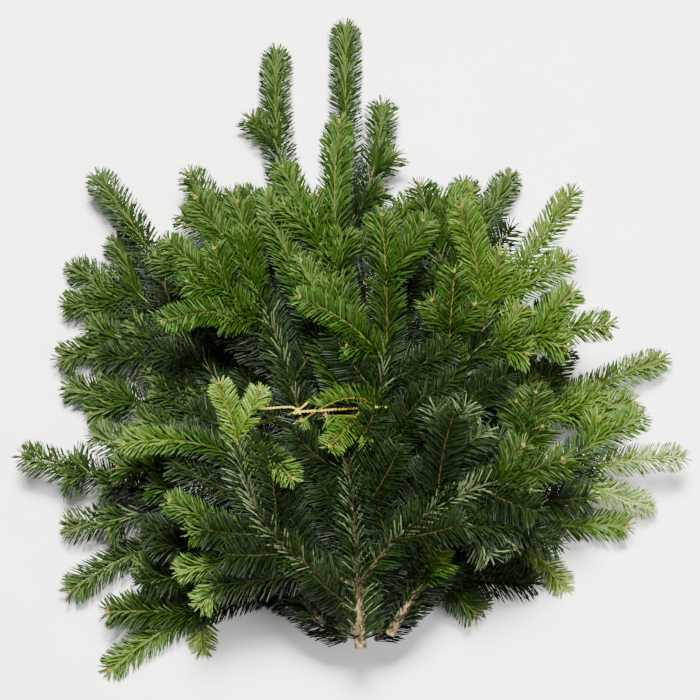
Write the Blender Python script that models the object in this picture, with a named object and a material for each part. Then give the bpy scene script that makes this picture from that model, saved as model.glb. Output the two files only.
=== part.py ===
"""A bunch of cut fir boughs, tied round its middle with twine and lying on its back.

Right is +X, from the cut ends to the tips is +Y, and up is +Z, in metres. The places in the
tables are in millimetres, measured from the middle of the bunch and up from what it lies on.
"""

import math
import random
from collections import namedtuple

import bmesh
import bpy
import numpy as np
from mathutils import Vector
from mathutils.bvhtree import BVHTree

MM = 0.001
GAP = 0.3 * MM
UP = np.array([0.0, 0.0, 1.0])

# A bough's axis runs through three places: its cut foot, a place on its way, and its end.
Bough = namedtuple("Bough", "foot way end foot_radius end_radius")
BOUGHS = {
    "front": Bough((10, -300, 112.4), (5, -205, 140), (-5, -105, 170), 6.5, 3.4),
    "centre": Bough((5, -285, 104.6), (15, -160, 130), (35, -20, 160), 5.6, 3.0),
    "upper_left": Bough((-8, -283, 106), (-45, -90, 130), (-85, 35, 140), 5.6, 3.0),
    "upper_right": Bough((17, -290, 104), (75, -100, 128), (140, 25, 138), 5.6, 3.0),
    "top": Bough((11, -292, 93), (0, -65, 64), (-5, 180, 40), 5.6, 2.8),
    "back_left": Bough((-1, -296, 93), (-85, -100, 84), (-210, 70, 46), 5.6, 3.0),
    "back_right": Bough((23, -296, 93), (80, -90, 90), (120, 100, 62), 5.6, 3.0),
    "left": Bough((-15.5, -286, 94), (-105, -200, 105), (-200, -140, 76), 5.6, 3.2),
    "right": Bough((38, -284, 94), (125, -180, 112), (235, -115, 82), 5.6, 3.2),
    "low_left": Bough((5, -298, 83.4), (-85, -225, 52), (-186, -184, 34), 5.4, 3.0),
    "low_right": Bough((17, -298, 83.4), (90, -220, 54), (170, -170, 36), 5.4, 3.0),
    "front_left": Bough((8, -245, 129), (-65, -210, 158), (-105, -120, 176), 4.6, 2.8),
    "front_right": Bough((8, -245, 129), (60, -190, 158), (130, -155, 168), 4.6, 2.8),
}
# These two branch from another bough, and their feet are moved clear of it.
SIDE_BOUGHS = {"front_left": "front", "front_right": "front"}
TAPER = 1.3

# A spray leaves its bough at a share of the bough's length and reaches its tip in so many
# yearly shoots. Its side shoots on the left and on the right keep a share of the length that is
# left, at an angle.
Spray = namedtuple("Spray", "bough seat tip years left right angle tone")
SPRAYS = {
    "top_leader": Spray("top", 1.0, (-5, 410, 15), 2, 0.0, 0.0, 45, "green"),
    "top_left": Spray("top", 0.72, (-80, 375, 24), 3, 0.38, 0.0, 36, "green"),
    "top_right": Spray("top", 0.92, (35, 300, 48), 2, 0.0, 0.45, 38, "green"),
    "top_out": Spray("top", 0.55, (-172, 210, 66), 3, 0.8, 0.7, 30, "green"),
    "top_across": Spray("top", 0.86, (134, 187, 60), 2, 0.3, 0.45, 35, "green"),
    "tall": Spray("centre", 0.78, (-10, 215, 190), 2, 0.85, 0.3, 18, "young"),
    "centre_leader": Spray("centre", 1.0, (30, 110, 205), 2, 0.0, 1.1, 36, "young"),
    "centre_up": Spray("centre", 0.64, (-85, 145, 170), 2, 0.0, 0.5, 35, "young"),
    "centre_left": Spray("centre", 0.95, (-55, 15, 220), 1, 0.35, 0.0, 45, "young"),
    "centre_hanging": Spray("centre", 0.8, (-50, -112, 216), 1, 0.85, 0.0, 60, "green"),
    "upper_left_leader": Spray("upper_left", 1.0, (-155, 135, 185), 1, 0.0, 0.85, 22, "young"),
    "upper_left_out": Spray("upper_left", 0.93, (-185, -5, 195), 1, 0.4, 1.2, 30, "young"),
    "upper_right_leader": Spray("upper_right", 1.0, (225, 150, 160), 1, 0.0, 0.65, 31, "young"),
    "upper_right_up": Spray("upper_right", 0.95, (105, 125, 190), 1, 0.0, 0.6, 25, "young"),
    "upper_right_out": Spray("upper_right", 0.84, (260, 10, 150), 2, 0.8, 0.5, 40, "young"),
    "upper_right_in": Spray("upper_right", 0.7, (100, 50, 210), 2, 0.6, 0.6, 35, "green"),
    "back_left_leader": Spray("back_left", 1.0, (-300, 120, 15), 1, 0.9, 0.9, 42, "green"),
    "back_left_spike": Spray("back_left", 0.88, (-273, 215, 46), 2, 0.0, 0.0, 35, "green"),
    "back_left_out": Spray("back_left", 0.84, (-306, 10, 30), 2, 0.5, 0.65, 35, "green"),
    "back_left_low": Spray("back_left", 0.52, (-297, -14, 22), 3, 0.6, 0.6, 33, "green"),
    "back_right_leader": Spray("back_right", 1.0, (175, 225, 25), 1, 0.75, 0.0, 22, "green"),
    "back_right_up": Spray("back_right", 0.85, (70, 180, 110), 2, 0.4, 0.7, 40, "green"),
    "back_right_out": Spray("back_right", 0.62, (220, 75, 35), 3, 0.5, 0.5, 42, "dark"),
    "back_right_far": Spray("back_right", 0.38, (330, 15, 30), 2, 0.0, 0.65, 24, "pale"),
    "left_leader": Spray("left", 1.0, (-335, -95, 52), 2, 0.35, 0.35, 33, "green"),
    "left_up": Spray("left", 0.72, (-259, -80, 80), 2, 0.5, 0.5, 38, "green"),
    "left_down": Spray("left", 0.84, (-290, -165, 26), 2, 0.35, 0.35, 35, "green"),
    "low_left_leader": Spray("low_left", 1.0, (-285, -235, 30), 1, 0.0, 0.0, 42, "green"),
    "low_left_down": Spray("low_left", 0.45, (-245, -310, 10), 2, 0.0, 0.75, 36, "pale"),
    "low_left_foot": Spray("low_left", 0.72, (-145, -295, 12), 1, 0.0, 0.0, 42, "pale"),
    "right_leader": Spray("right", 1.0, (340, -100, 62), 1, 0.0, 0.0, 42, "pale"),
    "right_up": Spray("right", 0.8, (295, -65, 95), 2, 0.5, 0.0, 42, "green"),
    "right_down": Spray("right", 0.88, (310, -145, 24), 1, 0.0, 0.3, 35, "pale"),
    "right_in": Spray("right", 0.6, (180, -55, 160), 2, 0.85, 0.6, 28, "young"),
    "right_low": Spray("right", 0.2, (84, -206, 146), 1, 0.0, 0.8, 24, "young"),
    "low_right_leader": Spray("low_right", 1.0, (285, -165, 32), 1, 0.75, 0.0, 42, "green"),
    "low_right_down": Spray("low_right", 0.92, (220, -230, 10), 1, 0.0, 0.0, 42, "pale"),
    "low_right_foot": Spray("low_right", 0.5, (135, -250, 20), 1, 0.0, 0.8, 35, "dark"),
    "front_left_leader": Spray("front_left", 1.0, (-125, -60, 205), 1, 0.0, 0.85, 35, "young"),
    "front_left_out": Spray("front_left", 0.93, (-220, -120, 180), 2, 0.0, 0.0, 42, "young"),
    "front_left_in": Spray("front_left", 0.97, (-48, -163, 195), 1, 0.0, 0.4, 42, "young"),
    "front_left_low": Spray("front_left", 0.45, (-175, -169, 172), 2, 0.6, 0.0, 42, "green"),
    "front_left_foot": Spray("front_left", 0.3, (-168, -231, 130), 2, 0.85, 0.0, 48, "young"),
    "front_right_leader": Spray("front_right", 1.0, (205, -135, 190), 1, 0.7, 0.5, 42, "green"),
    "front_right_up": Spray("front_right", 0.6, (110, -80, 200), 2, 0.9, 0.9, 38, "dark"),
    "front_right_down": Spray("front_right", 0.55, (160, -210, 150), 2, 0.9, 0.9, 42, "dark"),
}
NEEDLE_COLOURS = {
    "young": (0.17, 0.27, 0.05),
    "green": (0.09, 0.17, 0.04),
    "dark": (0.04, 0.08, 0.03),
    "pale": (0.24, 0.29, 0.15),
}

# A main twig sets off between the way to its tip and its bough's own heading, then bends.
BOUGH_PULL = 0.6
SETTING_OFF = 0.45
LEAST_ANGLE = math.radians(34)
# Side twigs leave at the end of each year, and short ones in the middle of a long spray.
ANGLE_SPREAD = 5
LIFT = 0.08
REACH_SPREAD = (0.9, 1.1)
FORWARD_BEND = 0.3
ONLY_YEAR_NODE = 0.14
MIDDLE_NODE = 0.5
MIDDLE_SHARE = 0.55
LONG_SPRAY = 140 * MM
SIDE_YEAR = 100 * MM
SIDE_WIDTH = 0.92

# A yearly shoot is a blade along its twig, with teeth of needles on both sides.
HALF_WIDTH = 19 * MM
TWIG_RADIUS = 1.6 * MM
RIDGE = 2.2 * MM
RISE = 0.28
NOTCH = 0.42
LAST_NOTCH = 0.8
END_TOOTH = 0.86
MAIN_PITCH = 24 * MM
SIDE_PITCH = 30 * MM
LEAN = 1.25
POINT = 6 * MM
OVERLAP = 5 * MM
# Where there is too little room, a blade is narrower, or has teeth only further out.
WIDTHS = (1.0, 0.8, 0.6, 0.4)
BARE_STEMS = (5 * MM, 12 * MM, 24 * MM, 36 * MM)
LEAST_TOOTH = 0.7 * MAIN_PITCH
WIDEST = 0.36
SHORT_SHOOT = 45 * MM
ROOM = 0.6 * MM

BOUGH_SIDES = 8
BOUGH_STEPS = 9
SEAT_REACH = 30 * MM
SEAT_STEP = 0.1 * MM

TWINE_RADIUS = 1.3 * MM
TAIL_RADIUS = 0.8 * TWINE_RADIUS
TWINE_SIDES = 6
TWINE_TURNS = 24
BIND_Y = -75 * MM
KNOT_X = -50 * MM
FRONT_Z = 100 * MM
# The knot's lump and its two loose ends, as steps from its middle in millimetres.
KNOT_STEPS = ((-4.5, 0, 0.6), (-2, 0, 1.4), (2, 0, 1.4), (4.5, 0, 0.6))
KNOT_RADII = (1.0, 3.0, 3.0, 1.0)
TWINE_ENDS = (
    ((1, 1, 2.0), (-6, 4.2, 2.6), (-20, 4.4, 0), (-36, 4.0, -4)),
    ((-1, 0, 2.0), (5, 4, 5), (11, 9, 6)),
)


def place(point):
    return np.array(point, float) * MM


def unit(v):
    return v / np.linalg.norm(v)


def through(a, b, c):
    """A smooth path from a by b to c, which passes b at its share of the way."""
    first, last = np.linalg.norm(b - a), np.linalg.norm(c - b)
    m = first / (first + last)

    def at(t):
        from_a = a * (t - m) * (t - 1) / m
        by_b = b * t * (t - 1) / (m * (m - 1))
        to_c = c * t * (t - m) / (1 - m)
        return from_a + by_b + to_c

    return at


def bend(start, via, end):
    """A path that leaves start towards via and bends to end."""

    def at(t):
        return start * (1 - t) ** 2 + via * 2 * t * (1 - t) + end * t * t

    return at


def heading(path, t, step=0.01):
    return unit(path(t + step) - path(t - step))


def length_of(path, steps=12):
    points = [path(t) for t in np.linspace(0, 1, steps + 1)]
    return sum(np.linalg.norm(b - a) for a, b in zip(points, points[1:]))


def material(name, colour, roughness):
    made = bpy.data.materials.new(name)
    made.use_nodes = True
    shader = made.node_tree.nodes["Principled BSDF"]
    shader.inputs["Base Color"].default_value = (*colour, 1)
    shader.inputs["Roughness"].default_value = roughness
    return made


def make(name, points, faces, finish, smooth=False):
    mesh = bpy.data.meshes.new(name)
    mesh.from_pydata([Vector(p) for p in points], [], faces)
    shaped = bmesh.new()
    shaped.from_mesh(mesh)
    bmesh.ops.recalc_face_normals(shaped, faces=shaped.faces)
    shaped.to_mesh(mesh)
    shaped.free()
    mesh.materials.append(finish)
    if smooth:
        mesh.shade_smooth()
        mesh.set_sharp_from_angle(angle=math.radians(40))
    made = bpy.data.objects.new(name, mesh)
    bpy.context.scene.collection.objects.link(made)
    return made


def tree_of(points, faces):
    return BVHTree.FromPolygons([Vector(p) for p in points], faces)


def tube(line, radii, sides, closed=False):
    """Points and faces of a round tube through the places of line, of a radius at each."""
    count = len(line)
    normal = unit(np.cross(line[1] - line[0], [0.31, 0.17, 0.94]))
    points, faces = [], []
    for k, (centre, radius) in enumerate(zip(line, radii)):
        steps = []
        if k or closed:
            steps.append(unit(centre - line[k - 1]))
        if k + 1 < count or closed:
            steps.append(unit(line[(k + 1) % count] - centre))
        along = unit(sum(steps))
        normal = unit(normal - along * (normal @ along))
        across = np.cross(along, normal)
        for a in (math.tau * j / sides for j in range(sides)):
            points.append(centre + radius * (normal * math.cos(a) + across * math.sin(a)))
    for ring in range(count if closed else count - 1):
        low, high = ring * sides, ((ring + 1) % count) * sides
        for k in range(sides):
            n = (k + 1) % sides
            faces.append((low + k, low + n, high + n, high + k))
    if not closed:
        faces.append(tuple(range(sides)))
        faces.append(tuple(range((count - 1) * sides, count * sides)))
    return points, faces


def blade(path, t0, t1, size, bare, pitch, grow=0.0):
    """Points and faces of one yearly shoot on path from t0 to t1, of half-width size.

    It is bare for its first stretch. grow thickens it, to test for room around it.
    """
    length = length_of(lambda u: path(t0 + (t1 - t0) * u))
    bare = min(bare, length - POINT)
    toothed = length - bare - POINT
    teeth = round(toothed / pitch + 0.1)
    pitch = toothed / max(teeth, 1)
    points = []

    def add(s, x, z):
        t = t0 + (t1 - t0) * s / length
        along = heading(path, t)
        across = unit(np.cross(along, UP))
        above = np.cross(across, along)
        points.append(path(t) + across * x + above * z)
        return len(points) - 1

    def ring(s, thick, wide, rise):
        return add(s, 0, thick), add(s, -wide, rise), add(s, 0, -thick), add(s, wide, rise)

    root = ring(0, TWIG_RADIUS + grow, TWIG_RADIUS + grow, 0)
    rings = [ring(bare, RIDGE + grow, TWIG_RADIUS + grow, 0)]
    faces = [tuple(root)]
    for k in range(4):
        n = (k + 1) % 4
        faces.append((root[k], root[n], rings[0][n]))
        faces.append((root[k], rings[0][n], rings[0][k]))
    for j in range(1, teeth + 1):
        taper = LAST_NOTCH if j == teeth else 1.0
        notch = size * NOTCH * taper
        rings.append(ring(bare + j * pitch, RIDGE * taper + grow, notch, RISE * notch))
    for j in range(teeth):
        low, high = rings[j], rings[j + 1]
        wide = size * (END_TOOTH if j in (0, teeth - 1) else 1.0) + grow
        reach = min(bare + (j + LEAN) * pitch, length - POINT / 2)
        for side, sign in ((1, -1), (3, 1)):
            tip = add(reach, sign * wide, RISE * wide)
            for face in (0, 2):
                faces.append((low[face], low[side], tip))
                faces.append((low[face], tip, high[side]))
                faces.append((low[face], high[side], high[face]))
    apex = add(length, 0, 0)
    last = rings[-1]
    faces.extend((last[k], last[(k + 1) % 4], apex) for k in range(4))
    return points, faces


def bough_radius(bough):
    """The radius falls from the foot to the end, fastest near the foot."""
    more = bough.foot_radius - bough.end_radius
    return lambda t: MM * (bough.end_radius + more * (1 - t) ** TAPER)


def bough_shape(bough, path):
    shares = np.linspace(0, 1, BOUGH_STEPS + 1)
    radius = bough_radius(bough)
    return tube([path(t) for t in shares], [radius(t) for t in shares], BOUGH_SIDES)


def make_boughs(finish):
    """The boughs, and their paths and trees by name."""
    paths, trees = {}, {}
    for name, bough in BOUGHS.items():
        path = through(place(bough.foot), place(bough.way), place(bough.end))
        if name in SIDE_BOUGHS:
            carrier = trees[SIDE_BOUGHS[name]]
            foot = seat(carrier, place(bough.foot), heading(path, 0.01), bough.foot_radius * MM)
            path = through(foot, place(bough.way), place(bough.end))
        shape = bough_shape(bough, path)
        paths[name] = path
        trees[name] = tree_of(*shape)
        make("bough_" + name, *shape, finish, smooth=True)
    return paths, trees


def crossing(path):
    """The share of a bough's path at which it passes the twine."""
    low, high = 0.0, 1.0
    for _ in range(30):
        middle = (low + high) / 2
        low, high = (middle, high) if path(middle)[1] < BIND_Y else (low, middle)
    return low


def twine_line(paths):
    """The twine's own line: the tight loop round the boughs that pass it."""
    rounds = []
    for name, path in paths.items():
        if path(1)[1] > BIND_Y + TWINE_RADIUS:
            t = crossing(path)
            around = bough_radius(BOUGHS[name])(t) / heading(path, t)[1]
            rounds.append((path(t), around + TWINE_RADIUS + GAP))
    line = []
    for k in range(TWINE_TURNS):
        a = math.tau * k / TWINE_TURNS
        out = np.array([math.cos(a), 0, math.sin(a)])
        centre, reach = max(rounds, key=lambda r: r[0] @ out + r[1])
        line.append(centre + reach * out)
    return line


def make_twine(paths, finish):
    """The loop, its knot and two loose ends, as one solid."""
    line = twine_line(paths)
    knot = min((p for p in line if p[2] > FRONT_Z), key=lambda p: abs(p[0] - KNOT_X))
    lump = [knot + place(step) for step in KNOT_STEPS]
    shapes = [
        tube(line, [TWINE_RADIUS] * len(line), TWINE_SIDES, closed=True),
        tube(lump, [r * MM for r in KNOT_RADII], TWINE_SIDES),
    ]
    for end in TWINE_ENDS:
        tail = [knot + place(step) for step in end]
        shapes.append(tube(tail, [TAIL_RADIUS] * len(tail), TWINE_SIDES))
    return fuse("twine", shapes, finish)


def seat(tree, start, way, radius):
    """The place nearest start along way where a stem of that radius is GAP clear of tree."""
    across = unit(np.cross(way, UP))
    above = np.cross(across, way)
    turns = [math.tau * k / BOUGH_SIDES for k in range(BOUGH_SIDES)]
    shares = (0.25, 0.5, 0.75, 1.0)
    around = [radius * (across * math.cos(a) + above * math.sin(a)) for a in turns]
    rim = [share * r for r in around for share in shares]
    reach = SEAT_REACH
    while reach > 0:
        middle = start + way * (reach - SEAT_STEP)
        nearest = min(tree.find_nearest(Vector(middle + r))[3] for r in rim)
        if nearest < GAP + SEAT_STEP / 2:
            break
        reach -= SEAT_STEP
    return start + way * reach


class Crown:
    """The solids so far, and the blades that each spray holds."""

    def __init__(self, boughs, twine):
        self.trees = {"bough_" + name: [tree] for name, tree in boughs.items()}
        polygons = [p.vertices for p in twine.data.polygons]
        self.trees["twine"] = [tree_of([v.co for v in twine.data.vertices], polygons)]
        self.blades = {name: [] for name in SPRAYS}

    def clear(self, spray, *shoot):
        """Whether a shoot keeps its room to all solids, or just clears its own bough."""
        grown = tree_of(*blade(*shoot, ROOM))
        exact = tree_of(*blade(*shoot))
        own_bough = "bough_" + SPRAYS[spray].bough
        for owner, trees in self.trees.items():
            tested = exact if owner == own_bough else grown
            if owner != spray and any(tested.overlap(tree) for tree in trees):
                return False
        return True

    def fit(self, spray, path, t0, t1, size, pitch, main):
        """Adds the widest blade that there is room for, or on a main twig the twig alone."""
        length = length_of(lambda u: path(t0 + (t1 - t0) * u))
        size = min(size, length * WIDEST)
        stems = BARE_STEMS if main or length < SHORT_SHOOT else BARE_STEMS[1:]
        most_bare = length - POINT - LEAST_TOOTH
        choices = [(bare, width) for bare in stems for width in WIDTHS if bare <= most_bare]
        if main:
            choices.append((length, WIDTHS[-1]))
        for bare, width in choices:
            shoot = path, t0, t1, size * width, bare, pitch
            if self.clear(spray, *shoot):
                shape = blade(*shoot)
                self.blades[spray].append(shape)
                self.trees.setdefault(spray, []).append(tree_of(*shape))
                return True
        return False

    def grow(self, spray, path, years, size, pitch, main=False):
        """Adds the shoots of a twig, year by year, and returns the share that it reaches."""
        back = OVERLAP / length_of(path)
        for year in range(years):
            start = year / years - (back if year else 0)
            if not self.fit(spray, path, start, (year + 1) / years, size, pitch, main):
                return year / years
        return 1.0


def main_path(spray, bough, tree):
    """The main twig of a spray, from its seat on the bough to its tip."""
    start, tip = bough(spray.seat), place(spray.tip)
    along = heading(bough, spray.seat)
    first = unit(unit(tip - start) + BOUGH_PULL * along)
    if spray.seat < 1:
        aside = unit(first - along * (first @ along))
        forward = min(first @ along, math.cos(LEAST_ANGLE))
        outward = max(first @ aside, math.sin(LEAST_ANGLE))
        first = along * forward + aside * outward
    via = start + SETTING_OFF * np.linalg.norm(tip - start) * first
    return bend(seat(tree, start, first, TWIG_RADIUS), via, tip)


def side_path(main, t, angle, share, turn, draw):
    """A side twig from the node at t on the main twig, turned right or left by turn."""
    node, along = main(t), heading(main, t)
    across = unit(np.cross(along, UP))
    angle = math.radians(angle + draw.uniform(-ANGLE_SPREAD, ANGLE_SPREAD))
    level = along * math.cos(angle) + across * turn * math.sin(angle)
    first = unit(level + UP * draw.uniform(0, LIFT))
    left = length_of(lambda u: main(t + (1 - t) * u))
    reach = left * share * draw.uniform(*REACH_SPREAD)
    via = node + first * reach / 2
    return bend(node, via, via + unit(first + FORWARD_BEND * along) * reach / 2)


def side_nodes(spray, main):
    """The places of the side twigs on the main twig, each with its part of their usual share."""
    if spray.years == 1:
        return [(ONLY_YEAR_NODE, 1)]
    nodes = [(year / spray.years, 1) for year in range(1, spray.years)]
    if length_of(main) > LONG_SPRAY:
        nodes.append((MIDDLE_NODE / spray.years, MIDDLE_SHARE))
    return nodes


def grow_sprays(paths, trees, crown):
    """All main twigs grow first, so that no side twig takes their room."""
    mains, reached = {}, {}
    for name, spray in SPRAYS.items():
        main = mains[name] = main_path(spray, paths[spray.bough], trees[spray.bough])
        reached[name] = crown.grow(name, main, spray.years, HALF_WIDTH, MAIN_PITCH, main=True)
    for name, spray in SPRAYS.items():
        draw = random.Random(name)
        for t, part in side_nodes(spray, mains[name]):
            for turn, share in ((-1, spray.left), (1, spray.right)):
                if not share or reached[name] < t:
                    continue
                side = side_path(mains[name], t, spray.angle, share * part, turn, draw)
                years = max(1, round(length_of(side) / SIDE_YEAR))
                crown.grow(name, side, years, HALF_WIDTH * SIDE_WIDTH, SIDE_PITCH)


def fuse(name, shapes, finish):
    """One solid from shapes that overlap."""
    rest = bpy.data.collections.new(name + "_rest")
    bpy.context.scene.collection.children.link(rest)
    whole = make(name, *shapes[0], finish)
    for shape in shapes[1:]:
        piece = make(name + "_piece", *shape, finish)
        bpy.context.scene.collection.objects.unlink(piece)
        rest.objects.link(piece)
    if len(shapes) > 1:
        union = whole.modifiers.new("union", "BOOLEAN")
        union.operation = "UNION"
        union.operand_type = "COLLECTION"
        union.collection = rest
        union.solver = "EXACT"
        graph = bpy.context.evaluated_depsgraph_get()
        joined = bpy.data.meshes.new_from_object(whole.evaluated_get(graph))
        whole.modifiers.clear()
        whole.data = joined
    for piece in list(rest.objects):
        bpy.data.objects.remove(piece, do_unlink=True)
    bpy.data.collections.remove(rest)
    return whole


def settle():
    """Moves everything so that the lowest tip is at height 0, under the middle of the bunch."""
    points = np.array([v.co for obj in bpy.context.scene.objects for v in obj.data.vertices])
    low, high = points.min(axis=0), points.max(axis=0)
    middle = (low + high) / 2
    for obj in bpy.context.scene.objects:
        obj.location = (-middle[0], -middle[1], -low[2])


def main():
    for obj in list(bpy.data.objects):
        bpy.data.objects.remove(obj, do_unlink=True)
    paths, trees = make_boughs(material("bark", (0.17, 0.13, 0.10), 0.8))
    twine = make_twine(paths, material("twine", (0.66, 0.5, 0.16), 0.7))
    crown = Crown(trees, twine)
    grow_sprays(paths, trees, crown)
    needles = {}
    for tone, colour in NEEDLE_COLOURS.items():
        needles[tone] = material("needles_" + tone, colour, 0.5)
    for name, shapes in crown.blades.items():
        fuse("spray_" + name, shapes, needles[SPRAYS[name].tone])
    settle()


main()
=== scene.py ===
"""The looks of a bunch of cut fir boughs that lies on its back, tied round its middle with twine.

The boughs, sprays and twine follow the same rules and places as the solids, in millimetres. This
script carries them on to finer twigs, needles, buds, bark, cut ends and twisted strands.
"""

import math
import random
import zlib
from collections import defaultdict, namedtuple

import bpy
import numpy as np
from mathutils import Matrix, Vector, noise


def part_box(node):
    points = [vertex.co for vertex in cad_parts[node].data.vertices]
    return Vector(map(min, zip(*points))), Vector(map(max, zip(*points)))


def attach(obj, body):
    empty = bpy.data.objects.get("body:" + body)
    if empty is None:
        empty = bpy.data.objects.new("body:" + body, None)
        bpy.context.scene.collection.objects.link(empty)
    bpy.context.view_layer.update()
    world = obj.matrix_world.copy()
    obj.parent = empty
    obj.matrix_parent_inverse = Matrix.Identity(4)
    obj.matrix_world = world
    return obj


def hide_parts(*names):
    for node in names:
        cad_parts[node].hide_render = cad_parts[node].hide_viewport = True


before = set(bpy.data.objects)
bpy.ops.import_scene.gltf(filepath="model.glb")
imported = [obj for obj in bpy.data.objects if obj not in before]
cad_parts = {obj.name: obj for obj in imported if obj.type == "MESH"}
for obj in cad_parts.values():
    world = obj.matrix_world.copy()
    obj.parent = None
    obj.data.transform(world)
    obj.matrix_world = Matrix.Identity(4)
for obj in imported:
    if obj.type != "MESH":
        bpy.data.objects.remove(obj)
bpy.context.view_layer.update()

MM = 0.001
UP = np.array([0.0, 0.0, 1.0])

# A bough's axis runs through three places: its cut foot, a place on its way, and its end.
Bough = namedtuple("Bough", "foot way end foot_radius end_radius")
BOUGHS = {
    "front": Bough((10, -300, 112.4), (5, -205, 140), (-5, -105, 170), 6.5, 3.4),
    "centre": Bough((5, -285, 104.6), (15, -160, 130), (35, -20, 160), 5.6, 3.0),
    "upper_left": Bough((-8, -283, 106), (-45, -90, 130), (-85, 35, 140), 5.6, 3.0),
    "upper_right": Bough((17, -290, 104), (75, -100, 128), (140, 25, 138), 5.6, 3.0),
    "top": Bough((11, -292, 93), (0, -65, 64), (-5, 180, 40), 5.6, 2.8),
    "back_left": Bough((-1, -296, 93), (-85, -100, 84), (-210, 70, 46), 5.6, 3.0),
    "back_right": Bough((23, -296, 93), (80, -90, 90), (120, 100, 62), 5.6, 3.0),
    "left": Bough((-15.5, -286, 94), (-105, -200, 105), (-200, -140, 76), 5.6, 3.2),
    "right": Bough((38, -284, 94), (125, -180, 112), (235, -115, 82), 5.6, 3.2),
    "low_left": Bough((5, -298, 83.4), (-85, -225, 52), (-186, -184, 34), 5.4, 3.0),
    "low_right": Bough((17, -298, 83.4), (90, -220, 54), (170, -170, 36), 5.4, 3.0),
    "front_left": Bough((8, -245, 129), (-65, -210, 158), (-105, -120, 176), 4.6, 2.8),
    "front_right": Bough((8, -245, 129), (60, -190, 158), (130, -155, 168), 4.6, 2.8),
}
# These two leave the front bough's side.
SIDE_BOUGHS = ("front_left", "front_right")
TAPER = 1.3

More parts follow.
